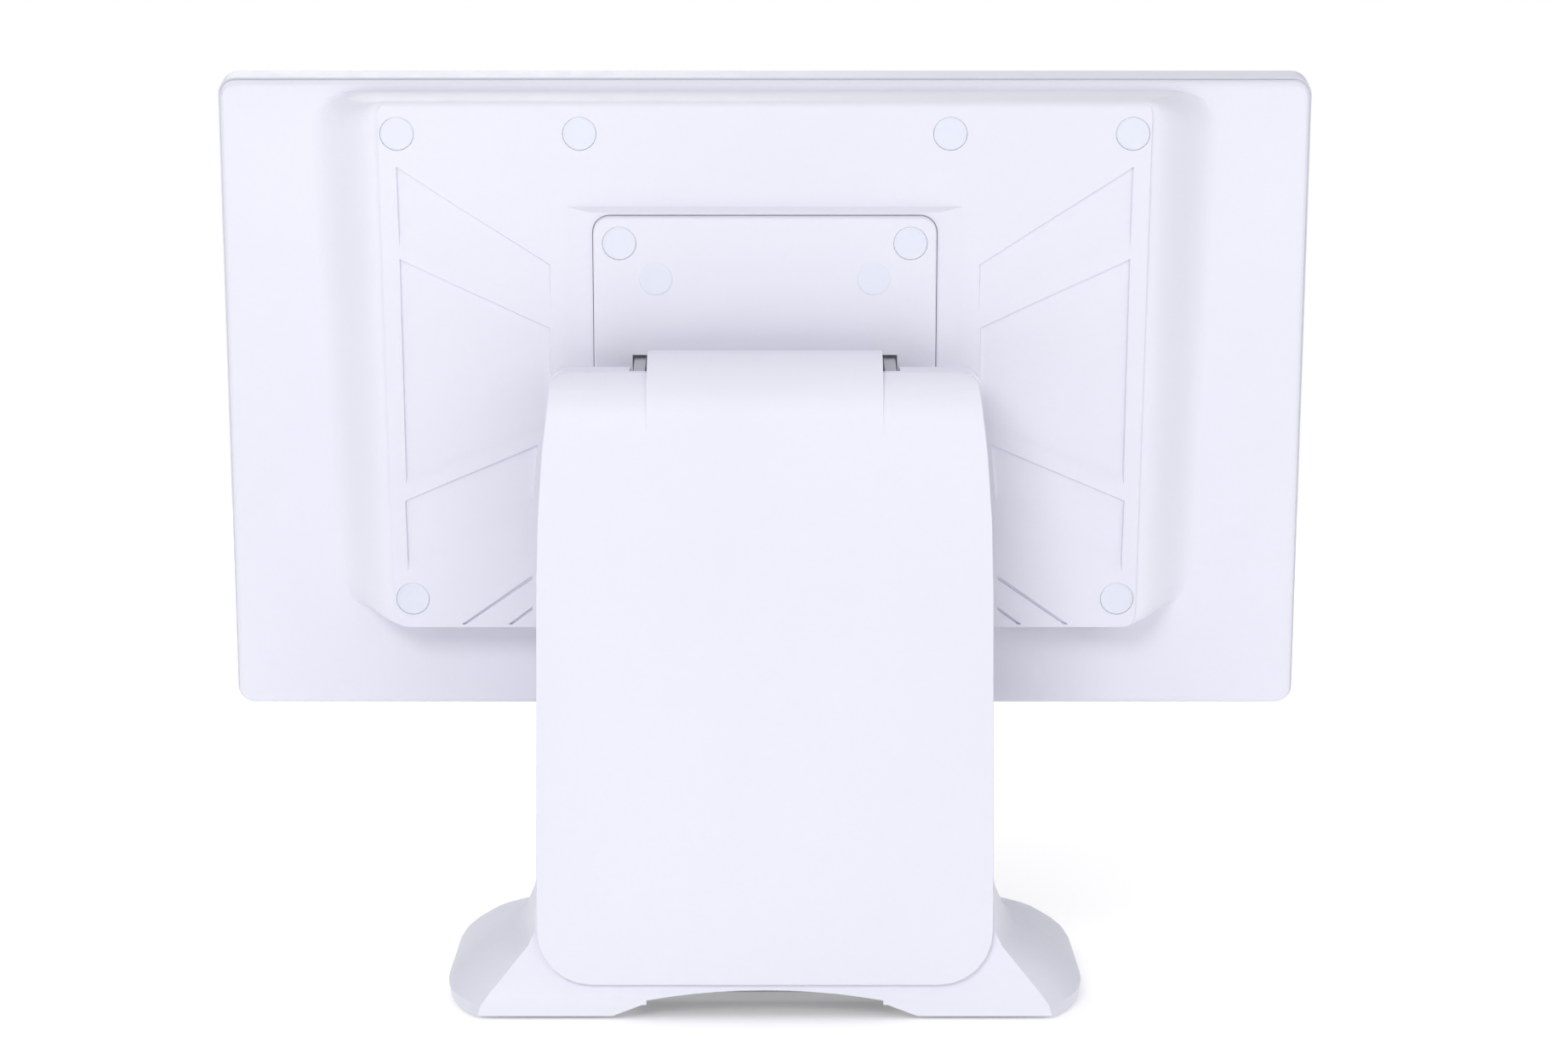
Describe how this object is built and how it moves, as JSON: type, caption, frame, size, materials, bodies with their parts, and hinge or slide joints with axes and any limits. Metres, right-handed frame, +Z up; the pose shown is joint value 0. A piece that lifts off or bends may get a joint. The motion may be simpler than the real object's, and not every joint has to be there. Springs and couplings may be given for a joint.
{
  "type": "pos touchscreen terminal",
  "caption": "All-in-one point-of-sale terminal: a wide touchscreen with its computer in the rear housing, on a tilt hinge at the top of a column stand.",
  "frame": {"origin": "on the table under the middle of the bounding box", "axes": "+X to the right of someone facing the screen, -Y the way the screen faces, +Z up"},
  "size_m": [0.379, 0.165, 0.3175],
  "materials": {
    "housing_plastic": "fine satin moulded plastic, white with a slight cool tint",
    "housing_trim": "fine satin moulded plastic, a shade darker",
    "screen_glass": "clear polished cover glass with a black printed border",
    "lcd_panel": "dark anti-glare display panel, switched off",
    "steel": "zinc-plated sheet steel",
    "dark_steel": "black e-coated steel",
    "screw_metal": "black nickel screws",
    "port_metal": "nickel-plated connector shells",
    "aluminium": "extruded aluminium, natural",
    "black_plastic": "black moulded plastic",
    "circuit_board": "green solder mask",
    "contact_gold": "gold-plated contacts",
    "rubber": "dark grey soft rubber"
  },
  "bodies": {
    "stand": {"base_plate": "steel", "base_cover": "housing_plastic", "rubber_foot_rear_left": "rubber", "rubber_foot_front_left": "rubber", "rubber_foot_rear_right": "rubber", "rubber_foot_front_right": "rubber", "column_rear_cover": "housing_plastic", "column_front_cover": "housing_plastic", "neck_front_cover": "housing_plastic", "column_spine": "steel", "spine_screw_1": "screw_metal", "spine_screw_2": "screw_metal", "spine_screw_3": "screw_metal", "spine_screw_4": "screw_metal", "hinge_bracket": "steel", "hinge_barrel_left": "dark_steel", "hinge_barrel_right": "dark_steel"},
    "display_head": {"front_frame": "housing_plastic", "touch_glass": "screen_glass", "glass_gasket": "black_plastic", "lcd_panel": "lcd_panel", "chassis_plate": "steel", "rear_cover": "housing_plastic", "screw_cap_1": "housing_trim", "screw_cap_2": "housing_trim", "screw_cap_3": "housing_trim", "screw_cap_4": "housing_trim", "screw_cap_5": "housing_trim", "screw_cap_6": "housing_trim", "button_board": "circuit_board", "mainboard": "circuit_board", "dc_inlet": "black_plastic", "lan_port": "port_metal", "usb_port_left": "port_metal", "serial_port": "port_metal", "drawer_port": "port_metal", "hdmi_port": "port_metal", "usb_port_right": "port_metal", "heat_sink": "aluminium", "memory_module": "circuit_board", "ssd_module": "circuit_board", "wifi_module": "circuit_board", "touch_controller": "circuit_board", "speaker_left": "black_plastic", "antenna_left": "circuit_board", "speaker_right": "black_plastic", "antenna_right": "circuit_board", "head_bracket": "steel", "mount_pad": "housing_plastic", "pad_cap_1": "housing_trim", "vesa_screw_1": "screw_metal", "pad_cap_2": "housing_trim", "vesa_screw_2": "screw_metal", "pad_cap_3": "housing_trim", "vesa_screw_3": "screw_metal", "pad_cap_4": "housing_trim", "vesa_screw_4": "screw_metal", "hinge_shaft_left": "steel", "hinge_shaft_right": "steel"},
    "power_button": {"power_button": "housing_trim"}
  },
  "joints": [
    {"name": "display_tilt", "type": "hinge", "parent": "stand", "child": "display_head", "pos_m": [0, 0.037, 0.2063], "axis": [-1, 0, 0], "range_deg": [-10.5, 59.5]},
    {"name": "power_button_press", "type": "slide", "parent": "display_head", "child": "power_button", "axis": [0, 0.1822, 0.9833], "range_m": [0, 0.0008], "stiffness_N_per_m": 800, "springref_m": -0.0004}
  ]
}
